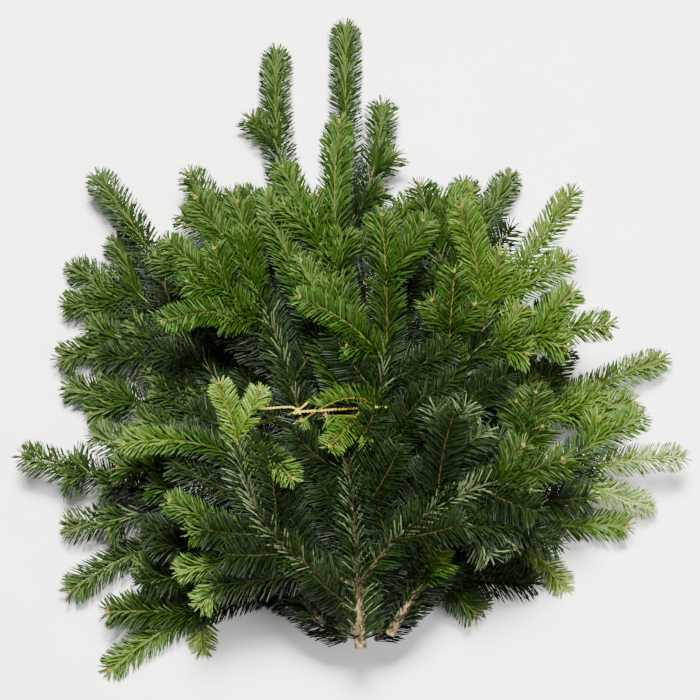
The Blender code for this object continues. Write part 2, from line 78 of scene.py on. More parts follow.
# A spray leaves its bough at a share of the bough's length and reaches its tip in so many
# yearly shoots. Its side shoots on the left and on the right keep a share of the length that is
# left, at an angle. Its tone is that of its youngest needles. Right_down, low_right_down,
# low_left_foot and front_left_leader lie in shade or are less lit, and take the pale tone partly
# to light them up: painted light.
Spray = namedtuple("Spray", "bough seat tip years left right angle tone")
SPRAYS = {
    "top_leader": ("top", 1, (-5, 410, 15), 2, 0, 0, 45, "green"),
    "top_left": ("top", 0.72, (-80, 375, 24), 3, 0.38, 0, 36, "green"),
    "top_right": ("top", 0.92, (35, 300, 48), 2, 0, 0.45, 38, "green"),
    "top_out": ("top", 0.55, (-172, 210, 66), 3, 0.8, 0.7, 30, "green"),
    "top_across": ("top", 0.86, (134, 187, 60), 2, 0.3, 0.45, 35, "fresh"),
    "tall": ("centre", 0.78, (-10, 215, 190), 2, 0.85, 0.3, 18, "young"),
    "centre_leader": ("centre", 1, (30, 110, 205), 2, 0, 1.1, 36, "young"),
    "centre_up": ("centre", 0.64, (-85, 145, 170), 2, 0, 0.5, 35, "young"),
    "centre_left": ("centre", 0.95, (-55, 15, 220), 1, 0.35, 0, 45, "young"),
    "centre_hanging": ("centre", 0.8, (-50, -112, 216), 1, 0.85, 0, 60, "fresh"),
    "upper_left_leader": ("upper_left", 1, (-155, 135, 185), 1, 0, 0.85, 22, "young"),
    "upper_left_out": ("upper_left", 0.93, (-185, -5, 195), 1, 0.4, 1.2, 30, "young"),
    "upper_right_leader": ("upper_right", 1, (225, 150, 160), 1, 0, 0.65, 31, "fresh"),
    "upper_right_up": ("upper_right", 0.95, (105, 125, 190), 1, 0, 0.6, 25, "fresh"),
    "upper_right_out": ("upper_right", 0.84, (260, 10, 150), 2, 0.8, 0.5, 40, "fresh"),
    "upper_right_in": ("upper_right", 0.7, (100, 50, 210), 2, 0.6, 0.6, 35, "young"),
    "back_left_leader": ("back_left", 1, (-300, 120, 15), 1, 0.9, 0.9, 42, "green"),
    "back_left_spike": ("back_left", 0.88, (-273, 215, 46), 2, 0, 0, 35, "green"),
    "back_left_out": ("back_left", 0.84, (-306, 10, 30), 2, 0.5, 0.65, 35, "green"),
    "back_left_low": ("back_left", 0.52, (-297, -14, 22), 3, 0.6, 0.6, 33, "green"),
    "back_right_leader": ("back_right", 1, (175, 225, 25), 1, 0.75, 0, 22, "green"),
    "back_right_up": ("back_right", 0.85, (70, 180, 110), 2, 0.4, 0.7, 40, "green"),
    "back_right_out": ("back_right", 0.62, (220, 75, 35), 3, 0.5, 0.5, 42, "green"),
    "back_right_far": ("back_right", 0.38, (330, 15, 30), 2, 0, 0.65, 24, "fresh"),
    "left_leader": ("left", 1, (-335, -95, 52), 2, 0.35, 0.35, 33, "green"),
    "left_up": ("left", 0.72, (-259, -80, 80), 2, 0.5, 0.5, 38, "green"),
    "left_down": ("left", 0.84, (-290, -165, 26), 2, 0.35, 0.35, 35, "green"),
    "low_left_leader": ("low_left", 1, (-285, -235, 30), 1, 0, 0, 42, "green"),
    "low_left_down": ("low_left", 0.45, (-245, -310, 10), 2, 0, 0.75, 36, "fresh"),
    "low_left_foot": ("low_left", 0.72, (-145, -295, 12), 1, 0, 0, 42, "pale"),
    "right_leader": ("right", 1, (340, -100, 62), 1, 0, 0, 42, "pale"),
    "right_up": ("right", 0.8, (295, -65, 95), 2, 0.5, 0, 42, "fresh"),
    "right_down": ("right", 0.88, (310, -145, 24), 1, 0, 0.3, 35, "pale"),
    "right_in": ("right", 0.6, (180, -55, 160), 2, 0.85, 0.6, 28, "green"),
    "right_low": ("right", 0.2, (84, -206, 146), 1, 0, 0.8, 24, "fresh"),
    "low_right_leader": ("low_right", 1, (285, -165, 32), 1, 0.75, 0, 42, "fresh"),
    "low_right_down": ("low_right", 0.92, (220, -230, 10), 1, 0, 0, 42, "pale"),
    "low_right_foot": ("low_right", 0.5, (135, -250, 20), 1, 0, 0.8, 35, "green"),
    "front_left_leader": ("front_left", 1, (-125, -60, 205), 1, 0, 0.85, 35, "pale"),
    "front_left_out": ("front_left", 0.93, (-220, -120, 180), 2, 0, 0, 42, "fresh"),
    "front_left_in": ("front_left", 0.97, (-48, -163, 195), 1, 0, 0.4, 42, "fresh"),
    "front_left_low": ("front_left", 0.45, (-175, -169, 172), 2, 0.6, 0, 42, "young"),
    "front_left_foot": ("front_left", 0.3, (-168, -231, 130), 2, 0.85, 0, 48, "fresh"),
    "front_right_leader": ("front_right", 1, (205, -135, 190), 1, 0.7, 0.5, 42, "green"),
    "front_right_up": ("front_right", 0.6, (110, -80, 200), 2, 0.9, 0.9, 38, "dark"),
    "front_right_down": ("front_right", 0.55, (160, -210, 150), 2, 0.9, 0.9, 42, "dark"),
}
SPRAYS = {name: Spray(*row) for name, row in SPRAYS.items()}

# The rule by which twigs branch, the same as in the solids.
BOUGH_PULL = 0.6
SETTING_OFF = 0.45
SEAT_STEP = 3 * MM
LEAST_ANGLE = math.radians(34)
ANGLE_SPREAD = 5
LIFT = 0.08
REACH_SPREAD = (0.9, 1.1)
FORWARD_BEND = 0.3
ONLY_YEAR_NODE = 0.14
MIDDLE_NODE = 0.5
MIDDLE_SHARE = 0.55
LONG_SPRAY = 140 * MM
SIDE_YEAR = 100 * MM

# Finer twigs on the side twigs, in pairs. On a side twig of one year they stand at this node.
FINE_SHARE = 0.6
FINE_LONGEST = 60 * MM
FINE_SHORTEST = 34 * MM
FINE_ONLY_NODE = 0.3

# Short twigs inside the bunch, straight from the boughs: how far apart they stand and by which
# shares of that they stray, and where they begin.
INNER_SPACING = 15.5 * MM
INNER_STRAY = (0.2, 0.8)
INNER_FROM = 30 * MM
# Up to which share of its path a bough has them, how much longer they are, and on which side its
# first stretch has them: 1 is right and -1 left, away from the cut feet, and 0 is both.
Inner = namedtuple("Inner", "to longer side", defaults=(1, 1, 0))
INNER = {
    "top": Inner(0.8, 1.3),
    "upper_right": Inner(0.78),
    "left": Inner(0.72, side=1),
    "right": Inner(0.70, side=-1),
    "low_left": Inner(0.88, side=1),
    "low_right": Inner(0.80, side=-1),
    "low_left_down": Inner(0.6, side=1),
    "back_right_far": Inner(0.6, side=-1),
}
ONE_SIDED_TO = 0.5
# Two sprays deep in the bunch have them too, along their main twigs.
INNER_SPRAYS = ("back_right_far", "low_left_down")
INNER_LENGTHS = (55 * MM, 105 * MM)
# Their turn round the bough from its top, and their lean from its way, in degrees.
INNER_TURNS = (45, 125)
INNER_ANGLES = (38, 66)
INNER_BEND = 0.5

# A twig stops this far short of its reach, so that the needles round its tip fill the rest.
TIP_ROOM = 7 * MM
# Nothing comes nearer to the floor than this.
FLOOR_ROOM = 0.4 * MM

# The needles of a tone: their slot, how many there are for each millimetre of shoot, how far the
# side and top ones lean from the twig in degrees, their length, the parting that they leave on top,
# how much they roll about their length, their shine, and the colour of their undersides.
Tone = namedtuple("Tone", "slot density side_angle top_angle length parting roll shine underside")
TONES = {
    "fresh": Tone("needles_young", 2.9, 54, 45, 22.0 * MM, 15, 0.25, 0.08, (0.040, 0.068, 0.014)),
    "young": Tone("needles_young", 3.0, 53, 44, 22.5 * MM, 15, 0.25, 0.07, (0.020, 0.036, 0.007)),
    "green": Tone("needles_green", 2.9, 55, 46, 23.5 * MM, 16, 0.30, 0.08, (0.022, 0.038, 0.011)),
    "dark": Tone("needles_dark", 2.2, 58, 48, 24.0 * MM, 18, 0.40, 0.12, (0.026, 0.040, 0.016)),
    "pale": Tone("needles_pale", 2.5, 56, 47, 20.0 * MM, 16, 0.35, 0.10, (0.088, 0.134, 0.030)),
    # The inner tone's undersides are darker than the dark tone's: painted shade deep inside the bunch.
    "inner": Tone("needles_dark", 2.0, 58, 48, 24.0 * MM, 18, 0.40, 0.12, (0.024, 0.036, 0.014)),
}
# Needles that grow from beneath bend up to the sides, between these turns from the top.
SIDE_TURN, UNDER_TURN = 80, 114
UPPER_TURN = 84
# A shoot has at least so many needles, and this share of it is left free at its ends.
FEWEST = 6
END_ROOM = 0.002
# How much needles stray in place, turn, lean in degrees, parting and size, and how they curve.
PLACE_STRAY = 0.4
TURN_STRAY = 0.1
LEAN_STRAY = 3
PARTING_STRAY = (0.2, 1.3)
LENGTH_STRAY = (0.92, 1.06)
WIDTH_STRAY = (0.85, 1.1)
CURVES = (0.02, 0.14)
# The needles on top have this share of their tone's length, and those at the sides so much more.
TOP_LENGTH = 0.80
SIDE_GAIN = 0.20
# Their bases are sunk into the twig, and near the floor they rise no more steeply than this.
BASE_SHARE = 0.8
STEEPEST = 0.9
# A shoot's root and tip are these shares of it. Towards both its needles get shorter and lean out
# further, in degrees, and towards the tip they stand closer.
ROOT_SHARE = 0.08
ROOT_SHRINK = 0.25
ROOT_LEAN = 26
TIP_SHARE = 0.16
TIP_SHRINK = 0.38
TIP_LEAN = 9
TIP_CROWDING = 1.25
# The last of the tip's needles close over the bud, each to a share of its lean.
LAST_OF_TIP = 0.8
CLOSING = (0.15, 1.0)
# What a tone becomes on each older shoot. The others stay what they are.
OLDER = {"fresh": "green", "young": "green", "pale": "green", "green": "dark"}
# Twigs of these tones have no buds that show, and their wood is old all along.
BUDLESS = ("dark", "inner")
# Sprays whose side shoots lean out further than in the solids, by so many degrees.
WIDER = {"front_left_leader": 9}
# Sprays with shorter needles than their tone's.
SHORTER = {
    "front_left_leader": 0.78, "front_left_out": 0.80, "front_left_in": 0.80,
    "front_left_low": 0.85, "front_left_foot": 0.85, "centre_hanging": 0.80,
    "upper_left_out": 0.88, "centre_left": 0.90,
}
# Sprays whose needles are combed to the two sides, so that the twig shows between them.
COMBED = (
    "back_right_far", "left_leader", "left_down", "low_left_leader", "low_left_down",
    "low_left_foot", "right_leader", "right_up", "right_down", "low_right_leader",
    "low_right_down", "low_right_foot", "centre_hanging",
)
COMBED_PARTING = 24
COMBED_DENSITY = 0.80
# Each tone is dealt out in three tints: the share of needles that the first two take, and the colours.
TINT_SHARES = {
    "fresh": (0.34, 0.38),
    "young": (0.40, 0.36),
    "green": (0.40, 0.37),
    "dark": (0.47, 0.33),
    "inner": (0.46, 0.34),
    "pale": (0.34, 0.36),
}
TINTS = {
    "fresh": ((0.0055, 0.0180, 0.0014), (0.0280, 0.0640, 0.0060), (0.0750, 0.1220, 0.0230)),
    "young": ((0.0022, 0.0075, 0.0007), (0.0150, 0.0385, 0.0038), (0.0500, 0.0900, 0.0210)),
    "green": ((0.0029, 0.0088, 0.0009), (0.0135, 0.0320, 0.0038), (0.0500, 0.0800, 0.0220)),
    # The dark tone's light tint is whitish: painted glints on old needles.
    "dark": ((0.0012, 0.0038, 0.0006), (0.0095, 0.0215, 0.0044), (0.0780, 0.1080, 0.0490)),
    # The inner tone is darker all through than the dark tone: painted shade deep inside the bunch.
    "inner": ((0.0013, 0.0040, 0.0006), (0.0055, 0.0130, 0.0024), (0.0110, 0.0240, 0.0050)),
    "pale": ((0.0220, 0.0520, 0.0050), (0.0640, 0.1200, 0.0130), (0.1580, 0.2400, 0.0500)),
}
# How much of a needle's tint depends on its place along the shoot and on its height, beside chance.
# Needles on top of a twig take lighter tints and those beneath darker ones: painted shade.
TINT_BY_PLACE = 0.34
PAINTED_SHADE_BY_HEIGHT = 0.34
# On an older shoot the place counts for less.
OLDER_PLACE = 0.5
# The height counts from so far below the twig, as a share of a needle's reach to the side.
LOWEST = 0.35
# How the lightness is spread before the tints are dealt out.
LIGHT_GAIN = 1.25
LIGHT_LOSS = 0.06
NEEDLE_WIDTH = 1.5 * MM
NEEDLE_THICKNESS = 0.5 * MM

# A twig's radius by the age of its wood. A spray's main twig counts as a year older.
TWIG_RADII = (0.75 * MM, 1.0 * MM, 1.4 * MM)
TWIG_TAPER = 0.85
TWIG_SIDES = 6
TWIG_RINGS = 9

# A bud's length and radius, and its rings: each one's share of the length and of the radius.
BUD_SIZE = (4.4 * MM, 1.4 * MM)
BUD_PROFILE = ((0.0, 0.7), (0.3, 1.0), (0.36, 0.9), (0.65, 0.8), (0.92, 0.35))
BUD_SIDES = 6
BUD_LIFT = 1.8 * MM
BUD_RISE = (0.0, 0.25)
BUD_STRAY = (0.85, 1.15)
SIDE_BUD_SIZE = 0.75
SIDE_BUD_LEAN = 0.7
SIDE_BUD_STEP = 1.0 * MM

# How far up from its foot a bough is bare; elsewhere the needles start at the cut.
BARE_FOOT = {"front": 8 * MM, "right": 11 * MM, "front_left": 3 * MM, "front_right": 3 * MM}
BOUGH_DENSITY = 2.6
BOUGH_PARTING = 8
# The first stretch of the front bough has needles at its sides only.
SIDES_ONLY_TO = 0.25
SIDES_ONLY_PARTING = 42
# More of the needles on these boughs take the light tint, as painted glints, and those at their feet
# stand out.
FRONT_BOUGHS = ("front", *SIDE_BOUGHS)
FRONT_PAINTED_GLINTS = 0.15
# The feet that show. The others end a little higher, behind needles.
FEET_IN_VIEW = ("front", "right")
HIDDEN_FOOT = 14 * MM

BARK_SIDES = 22
BARK_STEP = 2.0 * MM
# The bark's relief in two layers: how fine each is round the bough and for each millimetre along
# it, and how much of the radius it takes.
BARK_LAYERS = ((2.2, 0.10, 0.10), (5.0, 0.55, 0.07))
BARK_SEEDS = 997
# A bough swells by this where a spray leaves it, and the front bough also at a yearly node.
SEAT_SWELL = 0.22
FRONT_NODE = (0.27, 0.42)
SWELL_REACH = 5 * MM
# The rings of a sawn face: each one's share of the radius, and its height.
CUT_PROFILE = (
    (1.0, 0.0), (0.97, 0.35), (0.8, 0.45), (0.66, 0.40), (0.62, 0.50), (0.45, 0.46), (0.3, 0.55),
    (0.14, 0.42), (0.05, 0.40),
)
SAW_MARKS = 0.06 * MM
# Beyond its first stretch a bough's wood is slimmer than its solid, and needles fill the rest. The
# boughs whose feet show are a little slimmer all along.
SLIMMING = 0.50
SLIM_FROM = 0.24
SLIM_OVER = 0.14
VIEW_SLIMMER = 0.88
# A side branch that was cut off left a short stub on the front bough.
STUB_SEAT = 0.10
STUB_WAY = (-0.42, -0.52, 0.74)
STUB_LENGTH = 10.5 * MM
STUB_RADII = (5.4, 5.0)

# No needle crosses the twine's front, between two places across the bunch, or hides it from a
# camera whose line of sight leans back so much for its height.
PRESSED_FROM, PRESSED_TO = -84 * MM, 8 * MM
PRESSED_HALF_WIDTH = 4.5 * MM
PRESSED_LEAN = 0.325
PRESSED_DEPTH = 2 * MM
CLEAR_OF_TWIGS = 13 * MM

TWINE_RADIUS = 1.3 * MM
GAP = 0.3 * MM
TWINE_TURNS = 24
BIND_Y = -75 * MM
KNOT_X = -50 * MM
FRONT_Z = 100 * MM
# The twine's plies: their number, sides and step, how far they lie off its middle and how thick they
# are as shares of its radius, and the length of a twist.
PLIES = 2
PLY_SIDES = 7
PLY_STEP = 0.8 * MM
PLY_OFFSET = 0.46
PLY_RADIUS = 0.56
TWIST = 7 * MM
END_TWIST = 6 * MM
SMOOTHINGS = 3
# The knot's two loops: where each lies along the twine and which way it leans, then their radius,
# lean and lift in millimetres. The knot and the loose ends are drawn a little thinner.
KNOT_LOOPS = ((-1.8, 0.5), (1.6, -0.4))
KNOT_RADIUS = 2.7
KNOT_LEAN = 2.2
KNOT_LIFT = 1.2
KNOT_THINNER = 0.95
END_THINNER = 0.85
# The two loose ends, by their steps from the knot.
TWINE_ENDS = (
    ((1, 1, 2.0), (-6, 4.2, 2.6), (-20, 4.4, 0), (-36, 4.0, -4)),
    ((-1, 0, 2.0), (5, 4, 5), (11, 9, 6)),
)


# Paths, as in the solids. A share t may be one number or a column of them.


def place(point):
    return np.array(point, float) * MM


def unit(v):
    return v / np.linalg.norm(v, axis=-1, keepdims=True)


def through(a, b, c):
    """A smooth path from a by b to c, which passes b at its share of the way."""
    first, last = np.linalg.norm(b - a), np.linalg.norm(c - b)
    m = first / (first + last)

    def at(t):
        from_a = a * (t - m) * (t - 1) / m
        by_b = b * t * (t - 1) / (m * (m - 1))
        to_c = c * t * (t - m) / (1 - m)
        return from_a + by_b + to_c

    return at


def bend(start, via, end):
    """A path that leaves start towards via and bends to end."""

    def at(t):
        return start * (1 - t) ** 2 + via * 2 * t * (1 - t) + end * t * t

    return at


def heading(path, t, step=0.01):
    return unit(path(t + step) - path(t - step))


def stretch_of(path, t0, t1=1):
    return lambda u: path(t0 + (t1 - t0) * u)


def length_of(path, steps=12):
    points = path(np.linspace(0, 1, steps + 1)[:, None])
    return float(np.linalg.norm(np.diff(points, axis=0), axis=1).sum())


def bough_radius(bough):
    more = bough.foot_radius - bough.end_radius
    return lambda t: MM * (bough.end_radius + more * np.clip(1 - t, 0, 1) ** TAPER)


def wood_radius(name):
    """A bough's radius in wood, which slims down beyond its first stretch."""
    full = bough_radius(BOUGHS[name])
    bare, start = (VIEW_SLIMMER, SLIM_FROM) if name in FEET_IN_VIEW else (1, -SLIM_OVER / 2)
    return lambda t: full(t) * bare * (1 - SLIMMING * np.clip((t - start) / SLIM_OVER, 0, 1))


def grow_boughs():
    paths = {}
    for name, bough in BOUGHS.items():
        foot = place(bough.foot)
        if name in SIDE_BOUGHS:
            towards = unit(place(bough.way) - foot)
            foot = foot + towards * BOUGHS["front"].foot_radius * MM
        paths[name] = through(foot, place(bough.way), place(bough.end))
    return paths


# Twigs. Each has a path, its yearly shoots, the tone of its needles and its order: 2 for a main twig,
# 1 for a side twig and 0 for the finest.
Twig = namedtuple("Twig", "path years tone order")


def main_path(spray, bough):
    """The main twig of a spray, from its seat on the bough to its tip."""
    start, tip = bough(spray.seat), place(spray.tip)
    along = heading(bough, spray.seat)
    first = unit(unit(tip - start) + BOUGH_PULL * along)
    root = start
    if spray.seat < 1:
        aside = unit(first - along * (first @ along))
        forward = min(first @ along, math.cos(LEAST_ANGLE))
        outward = max(first @ aside, math.sin(LEAST_ANGLE))
        first = along * forward + aside * outward
        root = start + first * SEAT_STEP
    via = start + SETTING_OFF * np.linalg.norm(tip - start) * first
    return bend(root, via, tip)


def side_path(main, t, angle, share, turn, draw):
    """A side twig from the node at t on the main twig, turned right or left by turn."""
    node, along = main(t), heading(main, t)
    across = unit(np.cross(along, UP))
    angle = math.radians(angle + draw.uniform(-ANGLE_SPREAD, ANGLE_SPREAD))
    level = along * math.cos(angle) + across * turn * math.sin(angle)
    first = unit(level + UP * draw.uniform(0, LIFT))
    left = length_of(stretch_of(main, t))
    reach = left * share * draw.uniform(*REACH_SPREAD)
    via = node + first * reach / 2
    return bend(node, via, via + unit(first + FORWARD_BEND * along) * reach / 2)


def side_nodes(spray, main):
    """The places of the side twigs on the main twig, each with how much of their share they get."""
    if spray.years == 1:
        return [(ONLY_YEAR_NODE, 1)]
    nodes = [(year / spray.years, 1) for year in range(1, spray.years)]
    if length_of(main) > LONG_SPRAY:
        nodes.append((MIDDLE_NODE / spray.years, MIDDLE_SHARE))
    return nodes


def fine_twigs(side, years, spray, draw):
    """Pairs of the finest twigs at the nodes of a side twig."""
    nodes = [year / years for year in range(1, years)] or [FINE_ONLY_NODE]
    for t in nodes:
        left = length_of(stretch_of(side, t))
        share = min(FINE_SHARE, FINE_LONGEST / left)
        for turn in (-1, 1):
            if left * share > FINE_SHORTEST:
                yield Twig(side_path(side, t, spray.angle, share, turn, draw), 1, spray.tone, 0)


def spray_twigs(name, spray, bough):
    """The main twig of a spray, its side twigs and theirs."""
    draw = random.Random(name)
    fine = random.Random(name + " fine")
    spray = spray._replace(angle=spray.angle + WIDER.get(name, 0))
    main = main_path(spray, bough)
    yield Twig(main, spray.years, spray.tone, 2)
    for t, part in side_nodes(spray, main):
        for turn, share in ((-1, spray.left), (1, spray.right)):
            if not share:
                continue
            side = side_path(main, t, spray.angle, share * part, turn, draw)
            years = max(1, round(length_of(side) / SIDE_YEAR))
            yield Twig(side, years, spray.tone, 1)
            yield from fine_twigs(side, years, spray, fine)


def inner_twigs(name, bough, tone="inner"):
    """Short twigs along a bough, to its left and right in turn, which fill the inside of the bunch."""
    draw = random.Random(name + " inner")
    inner = INNER.get(name, Inner())
    length = length_of(bough)
    for k in range(int((length - INNER_FROM) / INNER_SPACING)):
        t = (INNER_FROM + (k + draw.uniform(*INNER_STRAY)) * INNER_SPACING) / length
        if t > inner.to:
            break
        start, along = bough(t), heading(bough, t)
        across = unit(np.cross(along, UP))
        above = np.cross(across, along)
        side = 1 if k % 2 else -1
        if t < ONE_SIDED_TO and inner.side:
            side = inner.side
        turn = side * math.radians(draw.uniform(*INNER_TURNS))
        out = across * math.sin(turn) + above * math.cos(turn)
        lean = math.radians(draw.uniform(*INNER_ANGLES))
        reach = draw.uniform(*INNER_LENGTHS) * inner.longer
        first = along * math.cos(lean) + out * math.sin(lean)
        last = unit(first + INNER_BEND * along)
        via = start + first * reach / 2
        yield Twig(bend(start, via, via + last * reach / 2), 1, tone, 0)


# Meshes.


def seed_of(name):
    return zlib.crc32(name.encode())


def add_object(name, data):
    made = bpy.data.objects.new(name, data)
    bpy.context.scene.collection.objects.link(made)
    return made


def make_piece(name, points, faces, finishes, slot, replaced, indices=None, crease=50):
    """A piece from arrays, whose edges stay sharp past the crease angle."""
    points, faces = np.asarray(points, np.float32), np.asarray(faces, np.int32)
    mesh = bpy.data.meshes.new(name)
    mesh.vertices.add(len(points))
    mesh.vertices.foreach_set("co", points.ravel())
    mesh.loops.add(faces.size)
    mesh.loops.foreach_set("vertex_index", faces.ravel())
    mesh.polygons.add(len(faces))
    mesh.polygons.foreach_set("loop_start", np.arange(0, faces.size, faces.shape[1], dtype=np.int32))
    if indices is not None:
        mesh.polygons.foreach_set("material_index", np.asarray(indices, np.int32))
    for finish in finishes:
        mesh.materials.append(finish)
    mesh.update(calc_edges=True)
    mesh.shade_smooth()
    mesh.set_sharp_from_angle(angle=math.radians(crease))
    made = add_object(name, mesh)
    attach(made, "root")
    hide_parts(*replaced)


def frames_along(path, t):
    """The places at the shares t, with the directions along, across and above the path there."""
    column = t[:, None]
    along = heading(path, column)
    across = unit(np.cross(along, UP))
    return path(column), along, across, np.cross(across, along)


def tube_rings(centres, along, radii, sides):
    """The points of a round tube, ring by ring, on a frame that doesn't twist."""
    normal = unit(np.cross(along[0], [0.31, 0.17, 0.94]))
    angles = np.arange(sides) * math.tau / sides
    right, up = np.cos(angles), np.sin(angles)
    rings = []
    for centre, ahead, radius in zip(centres, along, radii):
        normal = unit(normal - ahead * (normal @ ahead))
        across = np.cross(ahead, normal)
        rings.append(centre + radius * (np.outer(right, normal) + np.outer(up, across)))
    return np.array(rings)


def ring_faces(rings, sides):
    """Triangles between neighbouring rings."""
    ring, side = np.meshgrid(np.arange(rings - 1), np.arange(sides), indexing="ij")
    low, high = ring * sides, (ring + 1) * sides
    right = (side + 1) % sides
    a, b, c, d = low + side, low + right, high + right, high + side
    return np.stack([np.stack([a, b, c], -1), np.stack([a, c, d], -1)], 2).reshape(-1, 3)


def capped_tube(centres, along, radii, sides):
    """Points and triangles of a tube that is closed by a point at each end."""
    rings = tube_rings(centres, along, radii, sides)
    count = len(rings)
    points = np.concatenate([rings.reshape(-1, 3), centres[:1], centres[-1:]])
    k = np.arange(sides)
    right = (k + 1) % sides
    low = np.stack([np.full(sides, count * sides), right, k], -1)
    high = (count - 1) * sides + np.stack([k, right, np.full(sides, sides + 1)], -1)
    return points, np.concatenate([ring_faces(count, sides), low, high])


def joined(shapes):
    """The points and faces of many shapes as one."""
    offsets = np.cumsum([0] + [len(points) for points, _ in shapes])
    points = np.concatenate([points for points, _ in shapes])
    return points, np.concatenate([faces + offset for (_, faces), offset in zip(shapes, offsets)])


# Needles.

# A needle's places by length, width and thickness: base, two rings of left, right and ridge, tip.
NEEDLE_SHAPE = np.array([
    (0.0, 0.0, 0.0),
    (0.06, -0.9, 0.0), (0.06, 0.9, 0.0), (0.06, 0.0, 0.9),
    (0.86, -0.82, 0.0), (0.86, 0.82, 0.0), (0.86, 0.0, 0.8),
    (1.0, 0.0, 0.2),
])
NEEDLE_TOP = ((0, 3, 1), (0, 2, 3), (1, 3, 6), (1, 6, 4), (3, 2, 5), (3, 5, 6), (4, 6, 7), (6, 5, 7))
NEEDLE_UNDER = ((0, 1, 2), (1, 4, 5), (1, 5, 2), (4, 7, 5))
NEEDLE_FACES = np.array(NEEDLE_TOP + NEEDLE_UNDER)
NEEDLE_SLOTS = np.array([0] * len(NEEDLE_TOP) + [1] * len(NEEDLE_UNDER))

# The ridge of a needle is smooth, and its edges are sharp.
NEEDLE_CREASE = 80

GOLDEN_ANGLE = math.radians(137.508)


def needles_on(path, t0, t1, habit, radius, draw, tip, root_lean=ROOT_LEAN):
    """The needles of one shoot: where each stands, its direction, its upper side, its length, and
    how light its tint is from 0 to 1: lighter towards a young shoot's tip, lighter on top of the
    twig and darker beneath as painted shade, and by chance."""
    length = length_of(stretch_of(path, t0, t1))
    count = max(FEWEST, int(length / MM * habit.density))
    s = (np.arange(count) + draw.uniform(-PLACE_STRAY, PLACE_STRAY, count)) / count
    s = np.clip(s, END_ROOM, 1 - END_ROOM)
    if tip:
        s = 1 - (1 - s) ** TIP_CROWDING
    centre, along, across, above = frames_along(path, t0 + (t1 - t0) * s)

    turns = np.arange(count) * GOLDEN_ANGLE + draw.normal(0, TURN_STRAY, count)
    spiral = np.angle(np.exp(1j * turns))
    from_top = np.degrees(np.abs(spiral))
    parting = habit.parting * draw.uniform(*PARTING_STRAY, count)
    upper = parting + (UPPER_TURN - parting) * from_top / 90
    lower = SIDE_TURN + (UNDER_TURN - SIDE_TURN) * (from_top - 90) / 90
    turn = np.sign(spiral) * np.radians(np.where(from_top < 90, upper, lower))
    aside = np.clip(np.abs(turn) / (math.pi / 2), 0, 1)
    out = across * np.sin(turn)[:, None] + above * np.cos(turn)[:, None]

    to_tip = np.clip((s - (1 - TIP_SHARE)) / TIP_SHARE, 0, 1) if tip else np.zeros(count)
    to_root = np.clip(1 - s / ROOT_SHARE, 0, 1)
    lean = habit.top_angle + (habit.side_angle - habit.top_angle) * aside
    lean = lean + draw.normal(0, LEAN_STRAY, count) + TIP_LEAN * to_tip + root_lean * to_root
    last = to_tip > LAST_OF_TIP
    lean[last] *= draw.uniform(*CLOSING, last.sum())
    lean = np.radians(lean)
    way = unit(along * np.cos(lean)[:, None] + out * np.sin(lean)[:, None])

    size = habit.length * (TOP_LENGTH + SIDE_GAIN * aside)
    size = size * (1 - TIP_SHRINK * to_tip) * (1 - ROOT_SHRINK * to_root)
    size = size * draw.uniform(*LENGTH_STRAY, count)
    base = centre + out * (radius(s) * BASE_SHARE)[:, None]
    roll = draw.normal(0, habit.roll, count)[:, None]
    side = unit(np.cross(way, above) + roll * above)

    by_place = TINT_BY_PLACE * s * (1 if tip else OLDER_PLACE)
    # Lighter on top of the twig and darker beneath: painted shade.
    painted_shade = PAINTED_SHADE_BY_HEIGHT * np.clip((np.cos(turn) + LOWEST) / (1 + LOWEST), 0, 1)
    by_chance = (1 - TINT_BY_PLACE - PAINTED_SHADE_BY_HEIGHT) * draw.uniform(0, 1, count)
    return base, way, np.cross(side, way), size, by_place + painted_shade + by_chance


def needle_points(base, way, above, size, draw):
    """The points of needles, each curved a little upwards and kept off the floor."""
    low = (FLOOR_ROOM + NEEDLE_THICKNESS - base[:, 2]) / size
    way = way.copy()
    way[:, 2] = np.maximum(way[:, 2], np.minimum(low, STEEPEST))
    way = unit(way)
    across = unit(np.cross(way, above))
    above = np.cross(across, way)
    curve = draw.uniform(*CURVES, len(size))[:, None, None]
    width = (NEEDLE_WIDTH / 2 * draw.uniform(*WIDTH_STRAY, len(size)))[:, None, None]
    u, x, z = (NEEDLE_SHAPE[None, :, k, None] for k in range(3))
    length = size[:, None, None]
    points = base[:, None] + length * (u * way[:, None] + curve * u**2 * above[:, None])
    points = points + width * x * across[:, None] + NEEDLE_THICKNESS * z * above[:, None]
    points[:, :, 2] = np.maximum(points[:, :, 2], FLOOR_ROOM)
    return points


def aged(tone, years):
    """The tone of needles that were of another tone so many years ago."""
    for _ in range(years):
        tone = OLDER.get(tone, tone)
    return tone


def tones_of(spray):
    return {aged(spray.tone, years) for years in range(3)}


def habit_on(name, tone):
    """How the needles of a tone stand on a spray."""
    habit = TONES[tone]._replace(length=TONES[tone].length * SHORTER.get(name, 1))
    if name in COMBED:
        habit = habit._replace(parting=COMBED_PARTING, density=habit.density * COMBED_DENSITY)
    return habit


